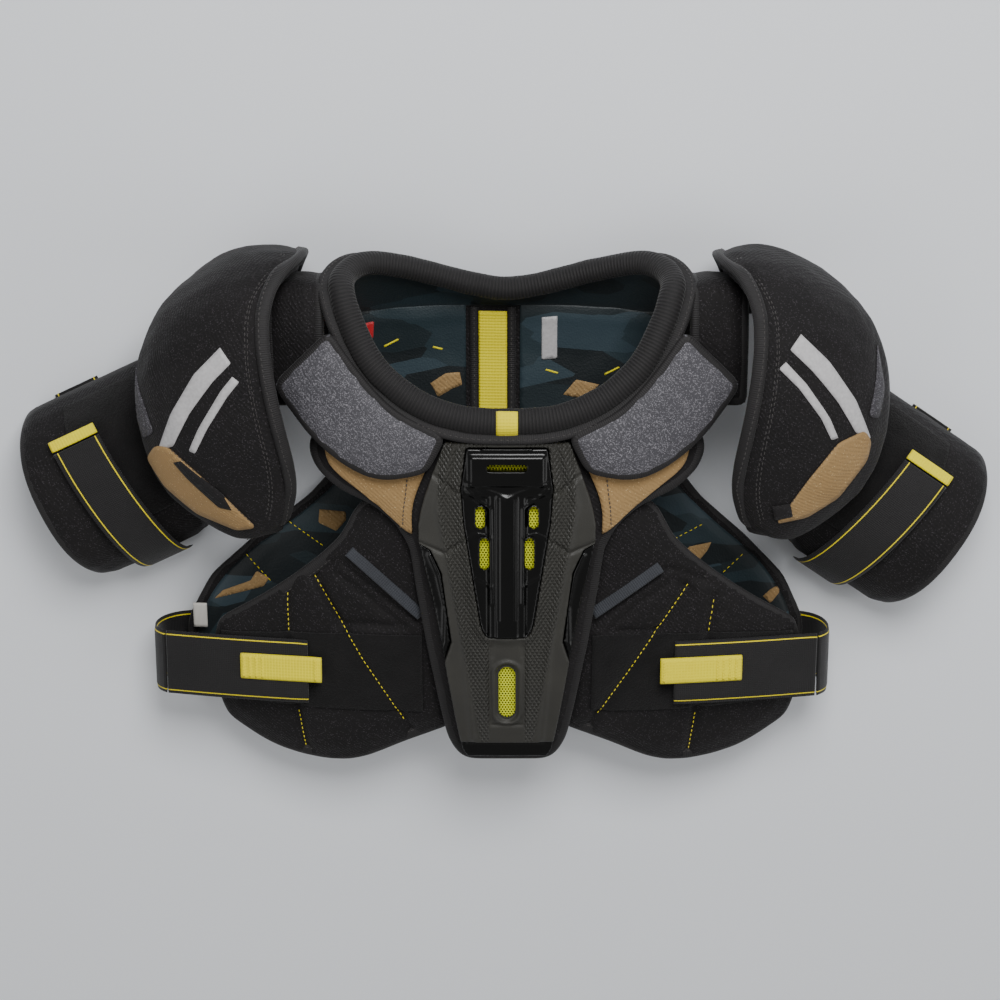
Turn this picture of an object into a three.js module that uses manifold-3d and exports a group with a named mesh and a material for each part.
// Ice hockey shoulder pads, lying on their back as they are laid out on a bench.
// Frame, in millimetres: +Z up out of the chest, +Y towards the head, +X towards the wearer's left.
// The origin is on the flat underside of the spine plate, midway between the sides.
import * as THREE from "three";
import { mergeVertices } from "three/addons/utils/BufferGeometryUtils.js";
import Module from "manifold-3d";

const wasm = await Module();
wasm.setup();

// ---------------------------------------------------------------- driving dimensions
const GAP = 0.4; // between pieces that touch
const SEAT = 1.1; // between a thin skin and the curved, faceted pad that it lies on
const SPINE_PLATE = { halfWidth: 42, bottom: -150, top: 110, thick: 4, corner: 24 };
const BACK_THICK = 13; // foam of the back panel
const SKIN = 1.5; // liners, loop pile, printed fabric
const RIBBON = { middle: -11, halfWidth: 11 }; // the pads lie with the spine a little off centre
const WEB = 2; // elastic webbing
const CHEST_THICK = 10; // foam of the chest body
const RIB_THICK = 11; // foam of the rib flaps
const PLATE_THICK = 7; // moulded sternum plate above the chest body
const INSERT_PROUD = 2; // of the sternum insert above the plate round it
const COLLAR_RADIUS = 9.5;
const CAP_THICK = 11;
const CAP_CENTRE = [205, 85];
// Bicep guard: along the arm from inner to outer, with its half width and height at each end.
const GUARD = {
  inner: 50,
  outer: 175,
  halfWidth: 74,
  innerHeight: 60,
  outerHeight: 70,
  thick: 10,
  foot: 4,
};
const STRAP_HALF_WIDTH = 26; // torso strap
const STRAP_MIDDLE = -125; // the Y of its middle line
const BICEP_STRAP_WIDTH = 38;
const STRAP_LIFT = 4.4; // of the bicep strap above the guard, clear of its loop pile
// The two sides lie a little differently, as soft pads do. The arm droops below the X axis and the
// cap turns about its centre, both in degrees. The wing of the back is stretched by a factor. The
// torso strap ends and bends at those X, and the bicep strap crosses that far along the arm.
const SIDES = {
  right: {
    sign: -1,
    arm: { shoulder: [200, 70], droop: 25, strapAt: 102 },
    cap: { shift: 0, turn: 0 },
    wing: 1.03,
    torsoStrap: { end: 155, bend: 268 },
  },
  left: {
    sign: 1,
    arm: { shoulder: [202, 63], droop: 34, strapAt: 95 },
    cap: { shift: 9, turn: 2 },
    wing: 0.88,
    torsoStrap: { end: 130, bend: 243 },
  },
};

// ---------------------------------------------------------------- shape helpers
const vec = (x, y, z) => new THREE.Vector3(x, y, z);
const curve = (points) => {
  const places = points.map((p) => vec(...p));
  return new THREE.CatmullRomCurve3(places, false, "centripetal");
};
const smooth = (t) => t * t * (3 - 2 * t);

function normalOf(surface, u, v) {
  const e = 1e-3;
  const du = surface(Math.min(u + e, 1), v).sub(surface(Math.max(u - e, 0), v));
  const dv = surface(u, Math.min(v + e, 1)).sub(surface(u, Math.max(v - e, 0)));
  return du.cross(dv).normalize();
}

// A closed sheet from low to high above surface(u, v), over the stretch of u and v given.
function shell(surface, [nu, nv], low, high, [u0, u1] = [0, 1], [v0, v1] = [0, 1]) {
  const g = new THREE.BoxGeometry(1, 1, 1, nu, nv, 1);
  const p = g.getAttribute("position");
  for (let i = 0; i < p.count; i++) {
    const u = u0 + (p.getX(i) + 0.5) * (u1 - u0);
    const v = v0 + (p.getY(i) + 0.5) * (v1 - v0);
    const lift = p.getZ(i) > 0 ? high : low;
    const at = surface(u, v).addScaledVector(normalOf(surface, u, v), lift);
    p.setXYZ(i, at.x, at.y, at.z);
  }
  g.deleteAttribute("normal");
  g.deleteAttribute("uv");
  return mergeVertices(g, 1e-4);
}

// The surface between two edge curves, at height(x, y) if that is given, with its far end bowed along
// X by bow millimetres.
function between(edgeA, edgeB, height, bow = 0) {
  return (u, v) => {
    const at = edgeA.getPoint(v).lerp(edgeB.getPoint(v), u);
    at.x += bow * Math.sin(Math.PI * u) * v ** 3;
    if (height) at.z = height(at.x, at.y);
    return at;
  };
}

// A row of points from the middle out to the left, joined to the same row mirrored to the right.
const mirrored = (points) => [...points.slice(1).map(([x, y, z]) => [-x, y, z]).reverse(), ...points];

// A stuffed roll along a row of points.
function roll(points, radius, flat, steps) {
  const section = new THREE.Shape().absellipse(0, 0, radius, radius * flat, 0, 2 * Math.PI);
  const g = new THREE.ExtrudeGeometry(section, {
    steps,
    curveSegments: 5,
    extrudePath: curve(points),
  });
  g.deleteAttribute("normal");
  g.deleteAttribute("uv");
  return mergeVertices(g, 1e-4);
}

function prism(shape, bottom, top) {
  const depth = top - bottom;
  const g = new THREE.ExtrudeGeometry(shape, { depth, bevelEnabled: false, curveSegments: 3 });
  g.translate(0, 0, bottom);
  g.deleteAttribute("normal");
  g.deleteAttribute("uv");
  return mergeVertices(g, 1e-4);
}

function roundedSlot(halfWidth, low, high, radius) {
  const s = new THREE.Shape();
  s.moveTo(-halfWidth + radius, low);
  s.lineTo(halfWidth - radius, low);
  s.absarc(halfWidth - radius, low + radius, radius, -Math.PI / 2, 0);
  s.absarc(halfWidth - radius, high - radius, radius, 0, Math.PI / 2);
  s.absarc(-halfWidth + radius, high - radius, radius, Math.PI / 2, Math.PI);
  s.absarc(-halfWidth + radius, low + radius, radius, Math.PI, 1.5 * Math.PI);
  return s;
}

function solid(geometry) {
  return new wasm.Manifold(
    new wasm.Mesh({
      numProp: 3,
      vertProperties: new Float32Array(geometry.getAttribute("position").array),
      triVerts: new Uint32Array(geometry.index.array),
    }),
  );
}

function geometryOf(manifold) {
  const m = manifold.getMesh();
  const g = new THREE.BufferGeometry();
  g.setAttribute("position", new THREE.BufferAttribute(new Float32Array(m.vertProperties), 3));
  g.setIndex(new THREE.BufferAttribute(new Uint32Array(m.triVerts), 1));
  return g;
}

const FINISHES = {
  black_fabric: ["#1b1a1c", 0.9, 0],
  grey_fabric: ["#6d6c70", 0.7, 0],
  tan_fabric: ["#a98558", 0.8, 0],
  liner_print: ["#1d2a30", 0.7, 0],
  yellow_web: ["#e9d820", 0.7, 0],
  black_web: ["#141415", 0.85, 0],
  loop_pile: ["#0c0c0d", 1, 0],
  moulded_grey: ["#4a4742", 0.6, 0],
  gloss_black: ["#0b0b0c", 0.25, 0],
  vent_mesh: ["#c9d62a", 0.8, 0],
  white_label: ["#e6e2dc", 0.9, 0],
};
const materials = {};
for (const [name, [color, roughness, metalness]] of Object.entries(FINISHES)) {
  materials[name] = new THREE.MeshStandardMaterial({ name, color, roughness, metalness });
}

const pads = new THREE.Group();
function add(parent, name, finish, geometry) {
  const mesh = new THREE.Mesh(geometry, materials[finish]);
  mesh.name = name;
  parent.add(mesh);
  return mesh;
}

// ---------------------------------------------------------------- heights that pieces share
// Height of the chest body's top: along the middle by Y, falling away to the sides.
const CHEST_LINE = new THREE.SplineCurve(
  [[-225, 72], [-190, 80], [-140, 92], [-60, 106], [10, 115], [80, 116], [150, 113]].map(
    ([y, z]) => new THREE.Vector2(y, z),
  ),
);
const CHEST_SIDE_FALL = 0.0005;
function chestTop(x, y) {
  let low = 0;
  let high = 1;
  for (let i = 0; i < 30; i++) {
    const mid = (low + high) / 2;
    if (CHEST_LINE.getPoint(mid).x < y) low = mid;
    else high = mid;
  }
  return CHEST_LINE.getPoint(low).y - CHEST_SIDE_FALL * x * x;
}

// Height of the back panel's underside: flat on the spine plate, curling up at the wings and the neck.
function backBottom(x, y) {
  const wing = Math.max(0, Math.abs(x) - 120);
  const neck = Math.max(0, y - 110);
  return SPINE_PLATE.thick + GAP + 0.0006 * wing * wing + 0.0036 * neck * neck;
}
const backTop = (x, y) => backBottom(x, y) + BACK_THICK;

// ---------------------------------------------------------------- back: spine plate, panel, liners
add(
  pads,
  "spine_plate",
  "gloss_black",
  prism(
    roundedSlot(SPINE_PLATE.halfWidth, SPINE_PLATE.bottom, SPINE_PLATE.top, SPINE_PLATE.corner),
    0,
    SPINE_PLATE.thick,
  ),
);

// One side's edge of the back panel, from the waist to the neck, x outwards.
const WAIST_HALF_WIDTH = 128;
const BACK_EDGE = [
  [150, -188],
  [214, -176],
  [250, -140],
  [252, -100],
  [224, -54],
  [168, -12],
  [WAIST_HALF_WIDTH, 30],
  [WAIST_HALF_WIDTH, 90],
  [148, 128],
  [140, 152],
];
function backEdge({ wing }, sign) {
  const stretched = (x) => WAIST_HALF_WIDTH + (x - WAIST_HALF_WIDTH) * wing;
  return curve(BACK_EDGE.map(([x, y]) => [sign * stretched(x), y, 0]));
}
const backEdgeRight = backEdge(SIDES.right, -1);
const backEdgeLeft = backEdge(SIDES.left, 1);
const backSurface = (u, v) => {
  const at = backEdgeRight.getPoint(v).lerp(backEdgeLeft.getPoint(v), u);
  const dip = Math.sin(Math.PI * u);
  at.y += v > 0.5 ? 20 * dip * (v - 0.5) : -16 * dip * (0.5 - v);
  at.z = backBottom(at.x, at.y);
  return at;
};
add(pads, "back_panel", "black_fabric", shell(backSurface, [14, 12], 0, BACK_THICK));

add(
  pads,
  "spine_ribbon",
  "yellow_web",
  shell(
    between(
      curve([-1, 0, 1].map((end) => [RIBBON.middle - RIBBON.halfWidth, -16 + 166 * end, 0])),
      curve([-1, 0, 1].map((end) => [RIBBON.middle + RIBBON.halfWidth, -16 + 166 * end, 0])),
      (x, y) => backTop(x, y) + SEAT,
    ),
    [1, 10],
    0,
    SKIN,
  ),
);

// Each liner runs from beside the spine ribbon to just inside the edge of the back panel.
const linerSurface = (edge, innerX) => (u, v) => {
  const outer = edge.getPoint(0.02 + 0.96 * v);
  const at = vec(innerX, outer.y, 0).lerp(vec(outer.x - 7, outer.y, 0), u);
  const dip = Math.sin((Math.PI * (1 + u)) / 2);
  at.y += v > 0.5 ? 18 * dip * (v - 0.5) : -14 * dip * (0.5 - v);
  at.z = backTop(at.x, at.y) + SEAT;
  return at;
};

// ---------------------------------------------------------------- front: chest body and its fittings
const CHEST_EDGE = [
  [32, -198, 0],
  [42, -187, 0],
  [51, -150, 0],
  [66, -63, 0],
  [74, -10, 0],
  [94, 14, 0],
  [132, 34, 0],
  [147, 57, 0],
  [140, 76, 0],
  [112, 84, 0],
];
const chestEdge = curve(CHEST_EDGE);
const chestEdgeFar = curve(CHEST_EDGE.map(([x, y]) => [-x, y, 0]));
const chestSurface = (u, v) => {
  const at = chestEdgeFar.getPoint(v).lerp(chestEdge.getPoint(v), u);
  at.y -= 12 * Math.sin(Math.PI * u) * v ** 4;
  at.z = chestTop(at.x, at.y) - CHEST_THICK;
  return at;
};
add(pads, "chest_body", "black_fabric", shell(chestSurface, [10, 14], 0, CHEST_THICK));

// Sternum plate: a tapered moulding with an opening for the glossy insert and a slot for the vent mesh.
const PLATE_EDGE = [[36, -178, 0], [41, -150, 0], [55, -60, 0], [66, -4, 0], [63, 20, 0], [46, 68, 0]];
const plateEdge = curve(PLATE_EDGE);
const plateEdgeFar = curve(PLATE_EDGE.map(([x, y]) => [-x, y, 0]));
const plateSurface = (u, v) => {
  const at = plateEdgeFar.getPoint(v).lerp(plateEdge.getPoint(v), u);
  at.z = chestTop(at.x, at.y);
  return at;
};
const insertOutline = (grow) => {
  const s = new THREE.Shape();
  s.moveTo(-14 - grow, -87 - grow);
  s.quadraticCurveTo(-18 - grow, -85 - grow, -20 - grow, -76);
  s.lineTo(-32 - grow, 6);
  s.lineTo(-34 - grow, 34);
  s.lineTo(-30 - grow, 64 + grow);
  s.lineTo(30 + grow, 64 + grow);
  s.lineTo(34 + grow, 34);
  s.lineTo(32 + grow, 6);
  s.lineTo(20 + grow, -76);
  s.quadraticCurveTo(18 + grow, -85 - grow, 14 + grow, -87 - grow);
  return s;
};
// The side recesses of the plate, where the glossy trims sit.
const trimOutline = (sign, grow) => {
  const s = new THREE.Shape();
  const points = [
    [71 + grow, -8 + grow],
    [58 - grow, -16 + grow],
    [50 - grow, -34],
    [43 - grow, -92],
    [49 - 0.5 * grow, -112 - grow],
    [62 + grow, -112 - grow],
  ];
  const turned = points.map(([x, y]) => new THREE.Vector2(sign * x, y));
  if (sign < 0) turned.reverse();
  s.setFromPoints(turned);
  return s;
};
const ventOutline = (grow) => roundedSlot(6.5 + grow, -158 - grow, -113 + grow, 6.5 + grow);
const MESH_TOP = SEAT + SKIN;
let plate = solid(shell(plateSurface, [6, 12], MESH_TOP + GAP, MESH_TOP + GAP + PLATE_THICK));
plate = plate.subtract(solid(prism(insertOutline(0.5), 0, 200)));
plate = plate.subtract(solid(prism(ventOutline(0), 0, 200)));
for (const sign of [-1, 1]) plate = plate.subtract(solid(prism(trimOutline(sign, 0.5), 0, 200)));
add(pads, "sternum_plate", "moulded_grey", geometryOf(plate));

add(
  pads,
  "vent_mesh",
  "vent_mesh",
  shell(plateSurface, [6, 12], SEAT, MESH_TOP, [0.06, 0.94], [0.02, 0.97]),
);

// Glossy insert with its five small vents, and the two glossy side trims.
const insertTop = MESH_TOP + GAP + PLATE_THICK + INSERT_PROUD;
let insert = solid(shell(plateSurface, [6, 12], MESH_TOP + GAP, insertTop, [0.02, 0.98], [0.02, 0.99]));
insert = insert.intersect(solid(prism(insertOutline(0), 0, 200)));
const VENTS = [
  [0, 50, 15, 2.5],
  [-20, 11, 3.5, 9],
  [20, 11, 3.5, 9],
  [-17, -18, 3.5, 13],
  [17, -18, 3.5, 13],
];
for (const [x, y, halfWidth, halfHeight] of VENTS) {
  const corner = Math.min(halfWidth, halfHeight) - 0.1;
  const hole = roundedSlot(halfWidth, y - halfHeight, y + halfHeight, corner);
  insert = insert.subtract(solid(prism(hole, 0, 200)).translate([x, 0, 0]));
}
add(pads, "sternum_insert", "gloss_black", geometryOf(insert));
const trimBlank = shell(plateSurface, [6, 12], MESH_TOP + GAP, MESH_TOP + GAP + PLATE_THICK - 2);
for (const [side, { sign }] of Object.entries(SIDES)) {
  const trim = solid(trimBlank).intersect(solid(prism(trimOutline(sign, 0), 0, 200)));
  add(pads, side + "_plate_trim", "gloss_black", geometryOf(trim));
}
const tabSurface = between(
  curve([[-31, -195, 0], [-35, -188, 0], [-36, -181, 0]]),
  curve([[31, -195, 0], [35, -188, 0], [36, -181, 0]]),
  chestTop,
);
add(pads, "name_tab", "gloss_black", shell(tabSurface, [8, 3], SEAT, SEAT + 2.5));

// ---------------------------------------------------------------- collar roll, rear and front halves
add(
  pads,
  "rear_collar",
  "black_fabric",
  roll(mirrored([[0, 169, 37], [62, 183, 42], [104, 193, 56], [122, 184, 80]]), COLLAR_RADIUS, 0.8, 20),
);
add(
  pads,
  "front_collar",
  "black_fabric",
  roll(
    mirrored([
      [0, 84, 122],
      [38, 87, 122],
      [72, 101, 119],
      [98, 124, 114],
      [112, 148, 107],
      [120, 172, 97],
    ]),
    COLLAR_RADIUS,
    0.9,
    20,
  ),
);
add(
  pads,
  "collar_tab",
  "yellow_web",
  shell(
    between(
      curve([[-8, 70, 131], [-8, 78, 133], [-8, 84, 133]]),
      curve([[8, 70, 131], [8, 78, 133], [8, 84, 133]]),
    ),
    [2, 3],
    0,
    SKIN,
  ),
);

// ---------------------------------------------------------------- both sides: +x is outwards here
for (const [side, options] of Object.entries(SIDES)) {
  const half = new THREE.Group();
  half.scale.x = options.sign;
  pads.add(half);

  const linerStart = RIBBON.halfWidth + 10 + options.sign * RIBBON.middle;
  const liner = linerSurface(backEdge(options, 1), linerStart);
  add(half, side + "_back_liner", "liner_print", shell(liner, [6, 11], 0, SKIN));

  const pecSurface = between(
    curve([[72, -5, 0], [71, 20, 0], [60, 46, 0], [54, 60, 0]]),
    curve([[81, -2, 0], [110, 28, 0], [134, 48, 0], [136, 62, 0]]),
    chestTop,
  );
  add(half, side + "_pec_panel", "tan_fabric", shell(pecSurface, [4, 5], SEAT, SEAT + 2.5));

  // Rib flap under the chest body, with a band of loop pile for the torso strap.
  const ribSurface = between(
    curve([[62, 28, 0], [108, 16, 0], [126, -14, 0], [176, -57, 0], [224, -88, 0]]),
    curve([[42, -170, 0], [80, -187, 0], [126, -207, 0], [182, -198, 0], [221, -172, 0]]),
    (x, y) => chestTop(x, y) - CHEST_THICK - SEAT - RIB_THICK,
    8,
  );
  add(half, side + "_rib_flap", "black_fabric", shell(ribSurface, [7, 12], 0, RIB_THICK));
  const onRibs = (lift) => (x, y) => chestTop(x, y) - CHEST_THICK - SEAT + lift;
  const pileSurface = between(
    curve([[66, STRAP_MIDDLE + 32, 0], [150, STRAP_MIDDLE + 32, 0], [225, STRAP_MIDDLE + 28, 0]]),
    curve([[66, STRAP_MIDDLE - 34, 0], [150, STRAP_MIDDLE - 33, 0], [225, STRAP_MIDDLE - 28, 0]]),
    onRibs(0.9),
  );
  add(half, side + "_rib_pile", "loop_pile", shell(pileSurface, [4, 7], 0, SKIN));

  // Torso strap: sewn under the back panel's wing, round the side, and over the rib flap.
  const { end: strapEnd, bend: bendX } = options.torsoStrap;
  const strapLine = (x) => chestTop(x, STRAP_MIDDLE + STRAP_HALF_WIDTH) - CHEST_THICK - SEAT + 4;
  const strapPoint = (x) => [x, strapLine(x)];
  const wrap = (points) =>
    between(
      curve(points.map(([x, z]) => [x, STRAP_MIDDLE + STRAP_HALF_WIDTH, z])),
      curve(points.map(([x, z]) => [x, STRAP_MIDDLE - STRAP_HALF_WIDTH, z])),
    );
  const quarters = [0, 0.25, 0.5, 0.75, 1];
  const overRibs = wrap(quarters.map((t) => strapPoint(strapEnd + (bendX - strapEnd) * t)));
  add(half, side + "_torso_strap", "black_web", shell(overRibs, [1, 10], 0, WEB));
  const bendZ = strapLine(bendX);
  const round = wrap([
    [bendX + 1.5, bendZ],
    [bendX + 9, bendZ - 9],
    [bendX + 8, 24],
    [bendX - 4, 10],
    [bendX - 28, 7],
    [bendX - 48, 6.5],
  ]);
  add(half, side + "_strap_anchor", "black_web", shell(round, [1, 14], 0, WEB));
  const tabPoint = (x, y) => [x, y, strapLine(x) + WEB + GAP];
  const tabLine = between(
    curve([-11, 10, 32, 53].map((past) => tabPoint(strapEnd + past, STRAP_MIDDLE + 13))),
    curve([-11, 10, 32, 53].map((past) => tabPoint(strapEnd + past, STRAP_MIDDLE - 8))),
  );
  add(half, side + "_strap_tab", "yellow_web", shell(tabLine, [1, 5], 0, SKIN));

  // Shoulder yoke: the padded arch that joins the back panel to the chest over the shoulder.
  const yokeLine = [
    [158, 19],
    [175, 25],
    [184, 46],
    [185, 74],
    [180, 93],
    [158, 101],
    [128, 103],
    [92, 101],
  ];
  const yokeSurface = between(
    curve(yokeLine.map(([y, z]) => [180, y - 3, z - (z > 90 ? 7 : 1)])),
    curve(yokeLine.map(([y, z]) => [137, y, z])),
  );
  add(half, side + "_yoke", "black_fabric", shell(yokeSurface, [3, 16], -9, 0));

  const clavicleSurface = between(
    curve([[46, 73, 0], [84, 92, 0], [113, 124, 0], [130, 149, 0]]),
    curve([[60, 46, 0], [97, 41, 0], [137, 65, 0], [171, 109, 0]]),
    (x, y) => chestTop(x, y) + 4.8,
  );
  add(half, side + "_clavicle_pad", "grey_fabric", shell(clavicleSurface, [6, 8], 0, 10));

  // Shoulder cap: a dome from the free inner rim round to the arm, from the front tip over the
  // shoulder to the rear lobe.
  const cap = new THREE.Group();
  cap.position.set(CAP_CENTRE[0] + options.cap.shift, CAP_CENTRE[1], 0);
  cap.rotation.z = THREE.MathUtils.degToRad(options.cap.turn);
  half.add(cap);
  const innerRim = curve([
    [174, -12, 90],
    [160, 22, 112],
    [159, 52, 128],
    [166, 90, 138],
    [172, 128, 139],
    [174, 164, 130],
    [166, 188, 110],
    [152, 201, 82],
    [152, 198, 44],
    [160, 182, 12],
    [172, 148, 1.5],
  ]);
  const outerRim = curve([
    [192, -17, 85],
    [218, -10, 84],
    [244, 5, 84],
    [266, 26, 84],
    [279, 60, 84],
    [283, 96, 82],
    [279, 128, 75],
    [264, 158, 60],
    [240, 178, 38],
    [218, 172, 12],
    [200, 146, 1.5],
  ]);
  const capCentre = vec(...CAP_CENTRE, 50);
  const capSurface = (u, v) => {
    const at = innerRim.getPoint(v).lerp(outerRim.getPoint(v), u);
    const swell = 14 + 10 * Math.sin(Math.PI * Math.min(1, v * 1.4));
    const fade = smooth(Math.min(1, 8 * v)) * smooth(Math.min(1, 5 * (1 - v)));
    const out = at.clone().sub(capCentre).normalize();
    at.addScaledVector(out, swell * 4 * u * (1 - u) * fade);
    return at.sub(vec(...CAP_CENTRE, 0));
  };
  add(cap, side + "_cap_shell", "black_fabric", shell(capSurface, [7, 18], -CAP_THICK, 0));
  const inlayWidth = (v) => 0.34 * Math.sin(Math.PI * (0.1 + 0.82 * v)) ** 0.6;
  const inlaySurface = (u, v) => capSurface(0.94 - inlayWidth(v) * (1 - u), 0.035 + 0.215 * v);
  add(cap, side + "_cap_inlay", "tan_fabric", shell(inlaySurface, [2, 7], 1.6, 2.8));

  // Bicep guard: a padded half tunnel round the upper arm, in the arm's own frame.
  const arm = new THREE.Group();
  arm.position.set(...options.arm.shoulder, 0);
  arm.rotation.z = THREE.MathUtils.degToRad(-options.arm.droop);
  half.add(arm);
  const footAngle = 0.06;
  const guardPoint = (t, angle) => {
    const c = GUARD.halfWidth * Math.cos(angle);
    const foot = Math.sin(footAngle);
    const rise = Math.max(0, (Math.sin(angle) - foot) / (1 - foot)) ** 0.75;
    const along = smooth(Math.min(1, Math.max(0, (t - GUARD.inner) / 70)));
    const height = GUARD.innerHeight + (GUARD.outerHeight - GUARD.innerHeight) * along;
    return vec(t, c, GUARD.foot + (height - GUARD.foot) * rise);
  };
  const angleAt = (u) => footAngle + (Math.PI - 2 * footAngle) * u;
  const guardSurface = (u, v) => {
    const angle = Math.PI - angleAt(u);
    const inner = GUARD.inner + 26 * Math.max(0, -Math.cos(angle)) ** 1.5;
    const outer = GUARD.outer - 12 * Math.abs(Math.cos(angle)) ** 3;
    return guardPoint(inner + (outer - inner) * v, angle);
  };
  const flipped = (surface) => (u, v) => surface(1 - u, v);
  const outside = flipped(guardSurface);
  add(arm, side + "_bicep_guard", "black_fabric", shell(outside, [14, 6], -GUARD.thick, 0));
  const pileOnGuard = (u, v) => outside(0.14 + 0.52 * u, 0.08 + 0.58 * v);
  add(arm, side + "_bicep_pile", "loop_pile", shell(pileOnGuard, [9, 4], SEAT, SEAT + SKIN));

  // Bicep strap: the free end lies over the guard, its root runs under the arm along the floor.
  const across = (angle, v) => options.arm.strapAt + 8 * Math.cos(angle) + BICEP_STRAP_WIDTH * v;
  const strapOver = (u, v) => {
    const angle = 1.04 + (Math.PI - 1.04 - 0.12) * u;
    return guardPoint(across(angle, v), angle);
  };
  add(arm, side + "_bicep_strap", "black_web", shell(strapOver, [14, 1], STRAP_LIFT, STRAP_LIFT + WEB));
  const tipOver = (u, v) => {
    const angle = 0.9 + 0.12 * u;
    return guardPoint(across(angle, v), angle);
  };
  const strapTip = shell(tipOver, [2, 1], STRAP_LIFT, STRAP_LIFT + WEB);
  add(arm, side + "_bicep_strap_tip", "yellow_web", strapTip);
  const under = (u, v) => vec(options.arm.strapAt + BICEP_STRAP_WIDTH * v, 74 - 148 * u, 0.5);
  add(arm, side + "_bicep_strap_root", "black_web", shell(under, [6, 1], 0, WEB));
}

// A woven care label at the edge of the wearer's right rib flap.
const labelSurface = between(
  curve([[-250, -104, 33], [-244, -104, 34], [-239, -104, 34]]),
  curve([[-250, -84, 33], [-244, -84, 34], [-239, -84, 34]]),
);
add(pads, "care_label", "white_label", shell((u, v) => labelSurface(1 - u, v), [1, 2], 0, 0.8));

export default pads;
